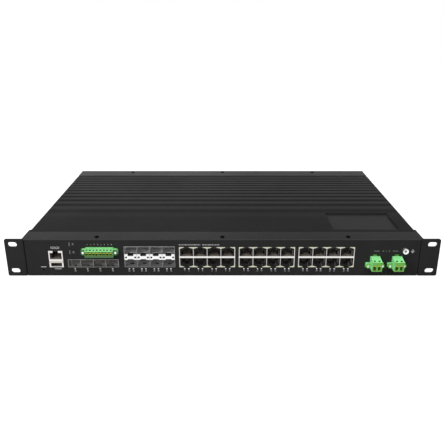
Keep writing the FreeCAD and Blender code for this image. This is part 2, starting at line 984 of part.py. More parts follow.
def memory_chips():
    y = y_posts + cpu_chip_behind + cpu_chip_size / 2 + heat_block_margin + memory_chip_gap
    offset = (memory_chip_width + memory_chip_gap) / 2
    return [block(centre["sfp"] + side * offset, memory_chip_width, y, y + memory_chip_length,
                  z_deck, z_deck + memory_chip_height) for side in (-1, 1)]


def x_power_board():
    x0, x1, y0, y1 = power_board_box()
    return (x0 + x1) / 2


def transformer():
    """Core with the winding standing out of it at both ends."""
    x = x_power_board()
    y = y_posts + transformer_behind
    core = block(x, transformer_width, y - transformer_depth / 2, y + transformer_depth / 2,
                 z_deck, z_deck + transformer_height)
    winding = block(x, transformer_width - 2 * winding_margin, y - transformer_depth / 2 - winding_bulge,
                    y + transformer_depth / 2 + winding_bulge,
                    z_deck + winding_margin, z_deck + transformer_height - winding_margin)
    return join(core, [winding])


def capacitors():
    first = x_power_board() - (capacitor_count - 1) * capacitor_pitch / 2
    y = y_face + header_depth + capacitor_behind
    return [block(first + step * capacitor_pitch, capacitor_width, y, y + capacitor_depth,
                  z_deck, z_deck + capacitor_height) for step in range(capacitor_count)]


def board_link():
    y = board_front + link_behind
    return block(x_link, link_width + board_gap, y, y + link_length, z_deck, z_deck + link_height)


# Earth screw

def earth_screw():
    return rod(at(x_earth, y_face, z_earth), at(0, -1, 0), earth_radius, earth_height)


def main():
    os.makedirs("parts", exist_ok=True)
    save("front_panel", [front_panel()])
    save("rear_panel", [rear_panel()])
    save("bottom_tray", [bottom_tray()])
    save("ribbed_lid", [ribbed_lid()])
    save("rack_ear_left", [rack_ear(-1)])
    save("rack_ear_right", [rack_ear(1)])
    save("case_screw_heads", case_screw_heads())
    save("ear_screw_heads", ear_screw_heads())

    for number, x in enumerate(rj45_centres, 1):
        save(f"rj45_shield_{number}", [rj45_shield(x)])
        save(f"rj45_housing_{number}", [rj45_housing(x)])
        save(f"rj45_inserts_{number}", rj45_inserts(x))

    save("sfp_cage", [sfp_cage()])
    save("sfp_cage_base", [cage_base(centre["sfp"], sfp_latch_inset, sfp_latch_width, sfp_latch_length)])
    save("sfp_dividers", cage_dividers(centre["sfp"], sfp_height))
    save("sfp_separators", sfp_separators())
    save("sfp_light_pipes", sfp_light_pipes())
    save("sfp_edge_connectors", edge_connectors(centre["sfp"], (z_deck + cage_wall, z_band + band_height)))
    save("sfp_plus_cage", [cage_shell(centre["sfp_plus"], sfp_plus_height)])
    save("sfp_plus_base", [cage_base(centre["sfp_plus"], sfp_plus_latch_inset, sfp_plus_latch_width,
                                     sfp_plus_latch_length)])
    save("sfp_plus_dividers", cage_dividers(centre["sfp_plus"], sfp_plus_height))
    save("sfp_plus_edge_connectors", edge_connectors(centre["sfp_plus"], (z_deck + cage_wall,)))

    save("console_shield", [console_shield()])
    save("console_housing", [console_housing()])
    save("usb_tongue", [usb_tongue()])
    save("reset_switch", [reset_switch()])
    save("reset_button", [reset_button()])

    save("alarm_header", [alarm.header()])
    save("alarm_plug", [alarm.plug()])
    save("alarm_jaws", alarm.jaws())
    for number, terminal in enumerate(power, 1):
        save(f"power_header_{number}", [terminal.header()])
        save(f"power_plug_{number}", [terminal.plug()])
    save("power_jaws", [jaw for terminal in power for jaw in terminal.jaws()])
    save("earth_screw", [earth_screw()])
    save("port_light_bars", port_light_bars())
    save("system_light_tower", [system_light_tower()])

    save("main_board", [board(main_board_box(), z_board)])
    save("power_board", [board(power_board_box(), z_board)])
    save("terminal_board", [board(io_board_box(), z_io_board)])
    save("board_standoffs", standoffs(main_posts() + power_posts(), z_floor, z_board))
    save("terminal_board_standoffs", standoffs(io_posts(), z_deck, z_io_board))
    save("cooled_chips", chip_solids())
    save("memory_chips", memory_chips())
    save("thermal_pads", thermal_pads())
    save("heat_blocks", heat_blocks())
    save("transformer", [transformer()])
    save("capacitors", capacitors())
    save("board_link", [board_link()])


main()
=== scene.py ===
import json
import math

import bpy
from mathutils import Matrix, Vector


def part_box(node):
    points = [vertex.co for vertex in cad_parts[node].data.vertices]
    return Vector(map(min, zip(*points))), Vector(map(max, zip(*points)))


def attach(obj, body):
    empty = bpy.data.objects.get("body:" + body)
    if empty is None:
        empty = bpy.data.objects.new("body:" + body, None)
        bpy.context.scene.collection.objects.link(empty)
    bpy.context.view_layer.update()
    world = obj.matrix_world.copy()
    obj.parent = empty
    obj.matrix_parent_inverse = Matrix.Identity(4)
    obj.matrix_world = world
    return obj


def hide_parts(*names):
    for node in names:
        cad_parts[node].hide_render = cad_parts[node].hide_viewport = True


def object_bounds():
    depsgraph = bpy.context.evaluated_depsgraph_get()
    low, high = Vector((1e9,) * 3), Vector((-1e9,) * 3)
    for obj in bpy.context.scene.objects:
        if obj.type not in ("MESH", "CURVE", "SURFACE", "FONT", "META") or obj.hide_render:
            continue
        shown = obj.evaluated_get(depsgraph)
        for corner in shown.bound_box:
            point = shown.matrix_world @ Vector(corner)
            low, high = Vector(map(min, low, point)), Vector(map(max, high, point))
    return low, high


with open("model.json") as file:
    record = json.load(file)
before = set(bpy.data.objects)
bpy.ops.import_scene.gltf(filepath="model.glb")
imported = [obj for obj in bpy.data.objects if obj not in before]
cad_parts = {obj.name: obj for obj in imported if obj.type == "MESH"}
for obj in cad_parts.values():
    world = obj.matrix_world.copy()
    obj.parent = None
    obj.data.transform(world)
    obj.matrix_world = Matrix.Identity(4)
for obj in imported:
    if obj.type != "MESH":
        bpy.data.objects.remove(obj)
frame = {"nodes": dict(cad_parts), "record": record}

cad_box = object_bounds()
panel_low, panel_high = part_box("front_panel")

# Sizes in metres, as on the real object
MM = 0.001
FACE = panel_low.y
COLUMNS = 4
JACK_BLOCKS = range(1, 4)
JACK_PITCH = 15.3 * MM
JACK_MIDDLE_BAR = 2.0 * MM
CAGE_PITCH = 14.05 * MM
CONSOLE_JACK_FLOOR = 9.7 * MM
EAR_SHEET = 2.0 * MM

# Contact wires in the jacks
CONTACTS = 8
CONTACT_PITCH = 1.02 * MM
CONTACT_WIRE = 0.42 * MM
CONTACT_INSET = 3.0 * MM
CONTACT_REACH = 8.5 * MM
CONTACT_LIFT = 2.6 * MM
CONTACT_STEPS = 4
CONTACT_BEND = 0.3

# Lights
LIGHT_PAIR = 4.6 * MM
LIGHT_RADIUS = 0.8 * MM
LIGHT_BULGE = 0.8 * MM
SYSTEM_LIGHTS = 2
SYSTEM_LIGHT_RADIUS = 1.5 * MM
SYSTEM_LIGHT_PITCH = 9.6 * MM
PIPE_SIZE = 1.4 * MM
PIPE_OFFSET = 5.1 * MM
PIPE_HEAD_RADIUS = 1.2 * MM
PIPE_HEAD_BULGE = 0.3 * MM
LENS_SEGMENTS = 14
LENS_RINGS = 7

# Plugs of the terminals
ALARM_POLES = 8
ALARM_PITCH = 3.81 * MM
ALARM_WELL_INSET = 2.7 * MM
ALARM_FLANGE_RISE = 4.3 * MM
POWER_PLUGS = range(1, 3)
POWER_POLES = 2
POWER_PITCH = 5.08 * MM
POWER_WELL_INSET = 2.6 * MM
POWER_FLANGE_RISE = 3.0 * MM
PLUG_CHEEK = 0.25 * MM
FLANGE_THICKNESS = 4.0 * MM

# Screws: a head is a radius and a height, a recess a length and a width
SCREW_SIDES = 36
SCREW_EDGE_SHARE = 0.14
RECESS_SHARE = 0.6
RECESS_LIMIT = 1.2 * MM
CASE_SCREW_RADIUS = 2.5 * MM
CASE_RECESS = (3.0 * MM, 0.7 * MM)
EAR_RECESS = (4.0 * MM, 0.9 * MM)
EARTH_RECESS = (4.2 * MM, 2.2 * MM)
EARTH_RECESS_SHADE_RADIUS = 1.5 * MM
EARTH_RECESS_SHADE_BULGE = 0.3 * MM
FLANGE_HEAD = (1.4 * MM, 1.0 * MM)
FLANGE_RECESS = (3.0 * MM, 0.5 * MM)
ALARM_CLAMP_HEAD = (0.9 * MM, 1.0 * MM)
ALARM_CLAMP_RECESS = (1.7 * MM, 0.4 * MM)
POWER_CLAMP_HEAD = (1.1 * MM, 1.8 * MM)
POWER_CLAMP_RECESS = (2.1 * MM, 0.5 * MM)

# Print on the panel
INK_LIFT = 0.03 * MM
TEXT_STEPS = 2
NUMBER_HEIGHT = 2.1 * MM
NUMBER_DROP = 2.5 * MM
POLE_NUMBER_HEIGHT = 1.8 * MM
POLE_NUMBER_DROP = 6.4 * MM
SERIAL_SIGN = "IOIOI"
SERIAL_SIGN_HEIGHT = 4.0 * MM
SERIAL_SIGN_RISE = 3.5 * MM
GROUND_SIGN_OFFSET = 8.3 * MM
GROUND_SIGN_SIZE = 2.0 * MM
GROUND_SIGN_STROKE = 0.55 * MM
GROUND_SIGN_STEP = 0.95 * MM
GROUND_SIGN_BARS = 3
GROUND_SIGN_TAPER = 0.33
POWER_SIGNS = "+-+"
POWER_SIGN_HEIGHT = 3.2 * MM
POWER_SIGN_PITCH = 3.4 * MM
POWER_SIGN_SHIFT = -0.34 * MM
POWER_SIGN_DROP = 0.3 * MM
DASH_RISE = 2.0 * MM
DASH_HEIGHT = 1.2 * MM
DASH_GAP = 0.6 * MM
DASH_WIDTHS = [1.5 * MM, 0.8 * MM, 1.2 * MM, 0.6 * MM, 1.7 * MM, 1.0 * MM]
DASH_RUNS = ((0.0, 0.39), (0.415, 0.735))

# Printed bars in mm from what they mark: left, right, foot, head
FIRST_POWER_BAR = (-1.8, 4.2, 0.0, 0.35)
SECOND_POWER_BAR = (-5.5, 0.5, 0.0, 0.35)
RESET_BAR = (-2.7, 3.5, 3.0, 4.0)
CONSOLE_BAR = (-2.5, 5.0, -2.6, -1.7)
SYSTEM_LIGHT_BAR = (-4.4, -4.0, -2.2, 2.2)

# Surfaces
RELIEF = 0.2 * MM
GRAIN_SHARE = 0.4
SLOW_DRIFT = 40.0
ROLLED_STRETCH = (0.02, 1.0, 1.0)
SMUDGE_EDGE = 0.2
DUST_SPECKS = 160.0
STRAIGHT_AHEAD = -0.9

# Studio
WHITE = (1.0, 1.0, 1.0, 1.0)
AMBIENT = 0.22
FLOOR_OWN_LIGHT = 0.9
FLOOR_TONE = (0.32, 0.32, 0.32, 1.0)
FLOOR_ROUGHNESS = 0.9
FLOOR_REACH = 1.6

# Lamps: place, aim, width and height in metres, power in watts
LAMPS = {
    "overhead": ((-0.1, -0.15, 1.1), (0.0, 0.05, 0.0), 1.5, 1.1, 16.0),
    "left_fill": ((-1.2, -0.8, 0.7), (0.0, 0.0, 0.0), 0.8, 0.8, 10.0),
    "rear_fill": ((-0.7, 1.7, 0.65), (0.0, 0.1, 0.0), 1.6, 0.7, 1.6),
}

# Camera of the photo, solved from the rack width, the ears' edges and the rear edge of the lid
PHOTO_WIDTH = 444.0
FOCAL_PIXELS = 558.56
SHIFT_PIXELS = -0.47
SENSOR_WIDTH = 36.0
CAMERA_PLACE = (0.0, -571.3 * MM, 256.5 * MM)
CAMERA_DIP = 20.597
CAMERA_NEAR = 0.01


# Helpers that add nodes

def node(tree, kind, inputs=None, **settings):
    """Add a node; inputs are values or sockets to link, settings are the node's own properties."""
    made = tree.nodes.new(kind)
    for name, value in settings.items():
        setattr(made, name, value)
    for name, value in (inputs or {}).items():
        socket = made.inputs[name]
        if isinstance(value, bpy.types.NodeSocket):
            tree.links.new(value, socket)
        else:
            socket.default_value = value
    return made


def math_node(tree, operation, first, second=0.0):
    return node(tree, "ShaderNodeMath", {0: first, 1: second}, operation=operation).outputs[0]


def product(tree, first, *others):
    for other in others:
        first = math_node(tree, "MULTIPLY", first, other)
    return first


def ramp(tree, value, start=0.0, end=1.0, low=0.0, high=1.0, shape="LINEAR"):
    """A value carried from one range to another and held at both ends."""
    ends = {"From Min": start, "From Max": end, "To Min": low, "To Max": high}
    return node(tree, "ShaderNodeMapRange", {"Value": value, **ends}, interpolation_type=shape).outputs[0]


def noise(tree, place, scale, detail, roughness=0.5):
    made = node(tree, "ShaderNodeTexNoise", {
        "Vector": place, "Scale": scale, "Detail": detail, "Roughness": roughness})
    return made.outputs[0]


def object_place(tree):
    return node(tree, "ShaderNodeTexCoord").outputs["Object"]


def place_in_mm(tree):
    """X, Y and Z of the shaded point, in millimetres."""
    scaled = node(tree, "ShaderNodeVectorMath", {0: object_place(tree), "Scale": 1 / MM}, operation="SCALE")
    return node(tree, "ShaderNodeSeparateXYZ", {0: scaled.outputs[0]}).outputs


def surface_direction(tree):
    """X, Y and Z of the direction that the surface faces."""
    normal = node(tree, "ShaderNodeNewGeometry").outputs["Normal"]
    return node(tree, "ShaderNodeSeparateXYZ", {0: normal}).outputs


def per_metre(tree, millimetres):
    return math_node(tree, "DIVIDE", 1 / MM, millimetres)


# Shader groups shared by the finishes, with lengths in mm

def value_group(name, inputs, outputs):
    """Empty shader group with number sockets; returns the tree, what it is given and what it puts out."""
    tree = bpy.data.node_groups.new(name, "ShaderNodeTree")
    for label, default in inputs.items():
        socket = tree.interface.new_socket(label, in_out="INPUT", socket_type="NodeSocketFloat")
        socket.default_value = default
    for label in outputs:
        tree.interface.new_socket(label, in_out="OUTPUT", socket_type="NodeSocketFloat")
    return tree, node(tree, "NodeGroupInput").outputs, node(tree, "NodeGroupOutput").inputs


def speckle_group():
    """Fine even grain of a coat or a moulding, with a slow drift of tone."""
    tree, given, result = value_group("speckle", {"Grain": 0.6}, ("Height", "Tone"))
    place = object_place(tree)
    scale = per_metre(tree, given["Grain"])
    fine = noise(tree, place, scale, detail=2.0)
    slow = noise(tree, place, math_node(tree, "DIVIDE", scale, SLOW_DRIFT), detail=3.0)
    tree.links.new(fine, result["Height"])
    grain = product(tree, math_node(tree, "SUBTRACT", fine, 0.5), GRAIN_SHARE)
    tree.links.new(math_node(tree, "ADD", grain, slow), result["Tone"])
    return tree


def rolled_group():
    """Long fine lines along X, left by rolling or extruding, in broader bands of tone."""
    tree, given, result = value_group("rolled_lines", {"Line": 0.3, "Band": 4.0}, ("Height", "Tone"))
    mapped = node(tree, "ShaderNodeMapping", {"Vector": object_place(tree), "Scale": ROLLED_STRETCH})
    stretched = mapped.outputs[0]
    tree.links.new(noise(tree, stretched, per_metre(tree, given["Line"]), detail=4.0), result["Height"])
    broad = noise(tree, stretched, per_metre(tree, given["Band"]), detail=2.0)
    tree.links.new(ramp(tree, broad, start=0.3, end=0.7), result["Tone"])
    return tree


def facing_group():
    """How far a face looks towards the front of the object, and how far it stands upright: the masks for
    painted light and shade by the way a face turns.
    """
    tree, _, result = value_group("facing", {}, ("Forward", "Upright"))
    direction = surface_direction(tree)
    ahead = product(tree, direction["Y"], -1.0)
    tree.links.new(math_node(tree, "MAXIMUM", ahead, 0.0), result["Forward"])
    level = math_node(tree, "ABSOLUTE", direction["Z"])
    tree.links.new(math_node(tree, "SUBTRACT", 1.0, level), result["Upright"])
    return tree


def smudge_group():
    """Soft patches where hands and packing have polished or dulled a surface."""
    tree, given, result = value_group("smudges", {"Size": 40.0, "Cover": 0.5}, ("Mask",))
    patches = noise(tree, object_place(tree), per_metre(tree, given["Size"]), detail=5.0, roughness=0.6)
    edge = math_node(tree, "SUBTRACT", 1.0, given["Cover"])
    low = math_node(tree, "SUBTRACT", edge, SMUDGE_EDGE)
    high = math_node(tree, "ADD", edge, SMUDGE_EDGE)
    tree.links.new(ramp(tree, patches, start=low, end=high), result["Mask"])
    return tree


def dust_group():
    """Thin dust that settles on faces that look up."""
    tree, given, result = value_group("settled_dust", {"Amount": 0.1}, ("Mask",))
    upward = math_node(tree, "MAXIMUM", surface_direction(tree)["Z"], 0.0)
    specks = noise(tree, object_place(tree), DUST_SPECKS, detail=6.0)
    tree.links.new(product(tree, upward, specks, given["Amount"]), result["Mask"])
    return tree


def mouth_group():
    """One at the mouth of a cage, none from a set depth on: the mask for painted shade inside the cages."""
    tree, given, result = value_group("painted_cage_mouth_shade", {"Mouth": -2.5, "Depth": 6.0}, ("Mask",))
    inside = math_node(tree, "SUBTRACT", place_in_mm(tree)["Y"], given["Mouth"])
    share = math_node(tree, "DIVIDE", inside, given["Depth"])
    tree.links.new(ramp(tree, share, low=1.0, high=0.0, shape="SMOOTHSTEP"), result["Mask"])
    return tree


def rib_band_group():
    """Painted sheen and shade: bands of tone across the ribs, closer together towards the rear and quiet at
    the front.
    """
    tree, given, result = value_group("painted_rib_sheen", {
        "Start": 18.8, "Spread": 63.2, "Shift": -0.36, "Quiet": 0.36, "Fade From": 60.0,
        "Fade To": 180.0}, ("Tone",))
    depth = place_in_mm(tree)["Y"]
    share = math_node(tree, "DIVIDE", math_node(tree, "SUBTRACT", depth, given["Start"]), given["Spread"])
    turns = math_node(tree, "ADD", product(tree, share, share), given["Shift"])
    wave = math_node(tree, "COSINE", product(tree, turns, 2 * math.pi))
    bands = ramp(tree, wave, start=1.0, end=-1.0)
    fade = ramp(tree, depth, start=given["Fade From"], end=given["Fade To"])
    tone = node(tree, "ShaderNodeMix", {0: fade, 2: given["Quiet"], 3: bands})
    tree.links.new(tone.outputs[0], result["Tone"])
    return tree


def wear_group():
    """Band at a set height with a tone of its own, such as the painted highlight on the middle bar of the
    jack shields.
    """
    tree, given, result = value_group("worn_band", {"Middle": 1.1, "Half Height": 0.75}, ("Mask",))
    away = math_node(tree, "ABSOLUTE", math_node(tree, "SUBTRACT", place_in_mm(tree)["Z"], given["Middle"]))
    tree.links.new(math_node(tree, "LESS_THAN", away, given["Half Height"]), result["Mask"])
    return tree


def entry_group():
    """Floors of the entries of a plug or a jack, below a set height, fading out towards the back: the mask
    for painted shade on these floors.
    """
    tree, given, result = value_group("entry_floors", {"Top": -4.7, "Back": -5.0, "Fade": 0.1}, ("Mask",))
    place = place_in_mm(tree)
    upward = math_node(tree, "MAXIMUM", surface_direction(tree)["Z"], 0.0)
    low = math_node(tree, "LESS_THAN", place["Z"], given["Top"])
    left = math_node(tree, "SUBTRACT", given["Back"], place["Y"])
    ahead = ramp(tree, math_node(tree, "DIVIDE", left, given["Fade"]), shape="SMOOTHSTEP")
    tree.links.new(product(tree, low, ahead, upward), result["Mask"])
    return tree


def well_group():
    """Walls of a plug's screw wells that look forward, above the wire entries: the mask for painted shade in
    the wells.
    """
    tree, given, result = value_group("painted_well_shade", {"Front": -14.0, "Back": -6.15, "Foot": -4.7}, ("Mask",))
    place = place_in_mm(tree)
    forward = math_node(tree, "LESS_THAN", surface_direction(tree)["Y"], STRAIGHT_AHEAD)
    behind = math_node(tree, "GREATER_THAN", place["Y"], given["Front"])
    ahead = math_node(tree, "LESS_THAN", place["Y"], given["Back"])
    above = math_node(tree, "GREATER_THAN", place["Z"], given["Foot"])
    tree.links.new(product(tree, behind, ahead, forward, above), result["Mask"])
    return tree


def fold_group():
    """Band along the folded edge of a sheet, where light catches the round of the bend."""
    tree, given, result = value_group("sheet_fold", {"Edge": 22.2, "Width": 1.0}, ("Mask",))
    below = math_node(tree, "SUBTRACT", given["Edge"], place_in_mm(tree)["Z"])
    share = math_node(tree, "DIVIDE", below, given["Width"])
    tree.links.new(ramp(tree, share, start=0.8, end=1.0, low=1.0, high=0.0), result["Mask"])
    return tree


SPECKLE = speckle_group()
ROLLED = rolled_group()
SMUDGES = smudge_group()
DUST = dust_group()
FACING_SHADE = facing_group()
MOUTH_SHADE = mouth_group()
RIB_SHEEN = rib_band_group()
PAINTED_BAND = wear_group()
ENTRY_SHADE = entry_group()
WELL_SHADE = well_group()
FOLD = fold_group()


# Finishes

def effect(tree, group, values=None):
    """Place a shared group in a material with its own values; returns what it puts out."""
    return node(tree, "ShaderNodeGroup", values, node_tree=group).outputs


def opaque(tone):
    return tone if isinstance(tone, bpy.types.NodeSocket) else (*tone, 1.0)


def blend(tree, share, first, second):
    mixed = node(tree, "ShaderNodeMix", {0: share, 6: opaque(first), 7: opaque(second)}, data_type="RGBA")
    return mixed.outputs[2]


def lay_patches(tree, colour, patches):
    """Blend tones over a colour; a patch is an effect, its values and the tone within its mask."""
    for group, values, tone in patches:
        colour = blend(tree, effect(tree, group, values)["Mask"], colour, tone)
    return colour


def finish(name, tones, rough, metallic=0.0, specular=0.5, grain=0.6, line=None, bump=0.1, smudge=40.0,
           sheen_bands=False, under=(), front=None, front_metallic=None, front_over=(), upright=False, over=()):
    """A material: two tones drifting into each other, roughness between two values, grain or rolled lines.

    Faces that look forward, or all upright ones, can have front tones and a metal share of their own: painted
    light and shade, the same finish lit and shaded by the way a face turns.
    Patches lie under the front tones, over them, or over everything.
    """
    material = bpy.data.materials.new(name)
    material.use_nodes = True
    tree = material.node_tree
    shader = tree.nodes["Principled BSDF"]
    texture = effect(tree, ROLLED, {"Line": line}) if line else effect(tree, SPECKLE, {"Grain": grain})
    tone = effect(tree, RIB_SHEEN)["Tone"] if sheen_bands else texture["Tone"]
    colour = lay_patches(tree, blend(tree, tone, *tones), under)
    if front:
        forward = effect(tree, FACING_SHADE)["Upright" if upright else "Forward"]
        front_colour = lay_patches(tree, blend(tree, tone, *front), front_over)
        colour = blend(tree, forward, colour, front_colour)
    colour = lay_patches(tree, colour, over)
    smudges = effect(tree, SMUDGES, {"Size": smudge})["Mask"]
    relief = node(tree, "ShaderNodeBump", {"Height": texture["Height"], "Strength": bump, "Distance": RELIEF})
    tree.links.new(colour, shader.inputs["Base Color"])
    tree.links.new(ramp(tree, smudges, low=rough[0], high=rough[1]), shader.inputs["Roughness"])
    tree.links.new(relief.outputs[0], shader.inputs["Normal"])
    shader.inputs["Metallic"].default_value = metallic
    shader.inputs["Specular IOR Level"].default_value = specular
    if front_metallic is not None:
        tree.links.new(ramp(tree, forward, low=metallic, high=front_metallic), shader.inputs["Metallic"])
    return material


def grey(value, warm=0.0):
    return (value * (1 + warm), value, value * (1 - warm))


def dark_mouth(depth, tone):
    return (MOUTH_SHADE, {"Depth": depth}, tone)


def worn_band(middle_z, half_height, tone):
    return (PAINTED_BAND, {"Middle": middle_z, "Half Height": half_height}, tone)


def entry_floors(top, back, fade, tone):
    return (ENTRY_SHADE, {"Top": top, "Back": back, "Fade": fade}, tone)


SETTLED_DUST = (DUST, {"Amount": 0.008}, (0.30, 0.29, 0.27))
BRIGHT_FOLD = (FOLD, {"Edge": panel_high.z / MM}, grey(0.088))
# Dark walls in the plugs' screw wells: painted shade.
WELL_SHADOW = (WELL_SHADE, {}, (0.01, 0.10, 0.012))

# Case
# Upright faces of the coat take lighter tones than its tops: painted light and shade.
COAT_LOOK = {"tones": (grey(0.005), grey(0.008)), "rough": (0.25, 0.33), "specular": 0.025, "grain": 0.5,
             "bump": 0.08, "smudge": 60.0, "front": (grey(0.028), grey(0.035)), "upright": True,
             "over": [SETTLED_DUST]}
COAT = finish("black_coat", **COAT_LOOK)
PANEL_COAT = finish("folded_panel_coat", front_over=[BRIGHT_FOLD], **COAT_LOOK)
# The ribs carry painted sheen and shade in bands, and their upright faces take lighter tones than their tops:
# painted light and shade.
LID = finish("black_ribs", (grey(0.0005), grey(0.042)), (0.30, 0.40), specular=0.014, line=0.3, bump=0.04,
             smudge=80.0, front=(grey(0.001), grey(0.070)), sheen_bands=True, upright=True, over=[SETTLED_DUST])
BLACK_SCREW = finish("black_screw", (grey(0.003), grey(0.006)), (0.5, 0.65), specular=0.0, grain=0.3,
                     smudge=6.0)

# Shields and cages
SHIELD_LOOK = {"rough": (0.34, 0.46), "metallic": 1.0, "line": 0.15, "bump": 0.04, "smudge": 12.0}
# The darker band around z = -5 mm on this shield is painted shade.
SHIELD = finish("tinned_sheet", (grey(0.58, 0.03), grey(0.68, 0.03)),
                under=[worn_band(middle_z=-5.0, half_height=1.1, tone=(0.47, 0.455, 0.41))], **SHIELD_LOOK)
# A flat tone covers the height of the jack windows, and the bright band on the middle bar is a painted
# highlight.
JACK_SHIELD = finish("tinned_jack_sheet", ((0.49, 0.49, 0.395), (0.57, 0.57, 0.455)),
                     under=[worn_band(middle_z=0.8, half_height=9.4, tone=(0.53, 0.518, 0.49)),
                            worn_band(middle_z=1.1, half_height=0.75, tone=(0.75, 0.735, 0.71))],
                     **SHIELD_LOOK)
# Cage faces that look forward are dark metal and the others bright and matt: painted light and shade. Each
# cage also carries painted shade at its mouth, fading inward, deepest in the SFP+ cage.
CAGE_LOOK = {"rough": (0.45, 0.60), "metallic": 0.05, "front_metallic": 1.0, "line": 0.2, "bump": 0.05,
             "smudge": 15.0}
NICKEL = (grey(0.88), grey(0.94))
NICKEL_EDGES = (grey(0.18), grey(0.25))
CAGE = finish("nickel_cage", NICKEL, front=NICKEL_EDGES, under=[dark_mouth(depth=9.0, tone=grey(0.51))],
              **CAGE_LOOK)
CAGE_FLOOR = finish("cage_floor", NICKEL, front=NICKEL_EDGES,
                    under=[dark_mouth(depth=17.0, tone=grey(0.10))], **CAGE_LOOK)
DEEP_SHADED_CAGE = finish("deep_shaded_cage", (grey(0.90, 0.02), grey(0.95, 0.02)), front=(grey(0.25), grey(0.33)),
                   under=[dark_mouth(depth=11.5, tone=grey(0.05))], **CAGE_LOOK)
# The band's forward faces are bright metal and its other faces bright and matt, with painted shade at the
# mouths: painted light and shade.
BAND = finish("bright_band", NICKEL, (0.30, 0.42), metallic=0.05, line=0.15, bump=0.03, smudge=10.0,
              front=(grey(0.72), grey(0.80)), front_metallic=1.0,
              under=[dark_mouth(depth=12.0, tone=grey(0.15))])

# Mouldings
BLACK_PLASTIC = finish("black_moulding", (grey(0.010), grey(0.018)), (0.42, 0.6), specular=0.35, grain=0.25,
                       smudge=10.0)
JACK_LOOK = {"rough": (0.45, 0.6), "specular": 0.08, "grain": 0.25, "smudge": 10.0}
# Inside faces of the jack mouldings take a lighter grey than their black forward faces: painted light.
JACK_TONES = {"tones": (grey(0.17, 0.08), grey(0.21, 0.08)), "front": (grey(0.014), grey(0.019))}
# Upward faces of the jacks below z = -7 mm are darkened, fading towards the back: painted shade.
JACK_PLASTIC = finish("jack_moulding", **JACK_TONES, **JACK_LOOK,
                      under=[entry_floors(top=-7.0, back=8.5, fade=11.0, tone=grey(0.012))])
CONSOLE_PLASTIC = finish("console_moulding", **JACK_TONES, **JACK_LOOK)
# Forward faces of the inserts take a lighter tone than the rest: painted light.
JACK_INSERT = finish("jack_insert", (grey(0.12, 0.08), grey(0.155, 0.08)), front=(grey(0.28), grey(0.34)),
                     **JACK_LOOK)
PLUG_LOOK = {"rough": (0.34, 0.48), "grain": 0.3, "bump": 0.08, "smudge": 8.0}
# Plug mouldings take darker tones on their forward faces and entry floors, and dark well walls: painted
# shade.
GREEN_PLASTIC = finish("green_moulding", ((0.25, 0.76, 0.30), (0.31, 0.86, 0.36)),
                       front=((0.165, 0.52, 0.065), (0.20, 0.60, 0.085)),
                       under=[entry_floors(top=-4.7, back=-5.0, fade=0.1, tone=(0.19, 0.30, 0.03))],
                       over=[WELL_SHADOW], **PLUG_LOOK)
# The alarm plug's forward faces and entry floors are darkened the same way: painted shade.
ALARM_PLASTIC = finish("deep_green_moulding", ((0.19, 0.64, 0.21), (0.24, 0.73, 0.25)),
                       front=((0.053, 0.155, 0.038), (0.066, 0.19, 0.05)),
                       under=[entry_floors(top=8.9, back=-5.0, fade=0.1, tone=(0.22, 0.34, 0.02))],
                       **PLUG_LOOK)
IVORY_PLASTIC = finish("ivory_moulding", ((0.78, 0.75, 0.67), (0.86, 0.83, 0.75)), (0.35, 0.5), grain=0.3,
                       bump=0.05, smudge=6.0)

# Lenses and ink
LENS_LOOK = {"grain": 0.2, "bump": 0.02, "smudge": 3.0}
CLEAR_LENS = finish("milky_lens", (grey(0.88), grey(0.95)), (0.15, 0.3), **LENS_LOOK)
DARK_LENS = finish("smoky_lens", (grey(0.07), grey(0.11)), (0.2, 0.35), **LENS_LOOK)
PIPE = finish("dark_pipe", (grey(0.006), grey(0.01)), (0.3, 0.45), specular=0.06, **LENS_LOOK)
INK_LOOK = {"rough": (0.5, 0.65), "specular": 0.3, "grain": 0.15, "bump": 0.03, "smudge": 8.0}
INK = finish("white_ink", (grey(0.78), grey(0.90)), **INK_LOOK)
GREY_INK = finish("grey_ink", (grey(0.45), grey(0.58)), **INK_LOOK)

# Small metal pieces
STEEL = finish("zinc_steel", (grey(0.78), grey(0.92)), (0.26, 0.42), metallic=1.0, grain=0.4, bump=0.06,
               smudge=4.0)
# Dark steel for the clamp screws and the disc in the earth screw's recess, so that wells and recess read as
# shaded: painted shade.
SHADE_DARK_STEEL = finish("shade_dark_steel", (grey(0.14), grey(0.22)), (0.35, 0.5), metallic=1.0, grain=0.3, bump=0.06,
                    smudge=2.0)
CONTACT = finish("plated_contact", ((0.46, 0.385, 0.335), (0.535, 0.46, 0.40)), (0.35, 0.5), metallic=0.3,
                 line=0.1, bump=0.03, smudge=4.0)
BRASS = finish("brass_jaw", ((0.64, 0.62, 0.06), (0.76, 0.74, 0.09)), (0.4, 0.55), metallic=0.4, line=0.2,
               bump=0.06, smudge=4.0)

# Inside the case
BOARD = finish("solder_mask", ((0.006, 0.010, 0.008), (0.012, 0.018, 0.015)), (0.3, 0.45), grain=0.8,
               bump=0.05)
CHIP = finish("chip_package", (grey(0.012), grey(0.022)), (0.5, 0.65), grain=0.2, bump=0.12, smudge=8.0)
PAD = finish("thermal_pad", ((0.30, 0.36, 0.44), (0.38, 0.44, 0.52)), (0.6, 0.8), grain=0.5, bump=0.15)
ALUMINIUM = finish("milled_block", (grey(0.62), grey(0.74)), (0.3, 0.42), metallic=1.0, line=0.25, bump=0.06)
CORE = finish("ferrite_core", (grey(0.03), grey(0.05)), (0.5, 0.7), grain=0.4, bump=0.15)
FILM = finish("film_capacitor", ((0.52, 0.34, 0.03), (0.62, 0.42, 0.05)), (0.3, 0.45), grain=0.4, bump=0.06)

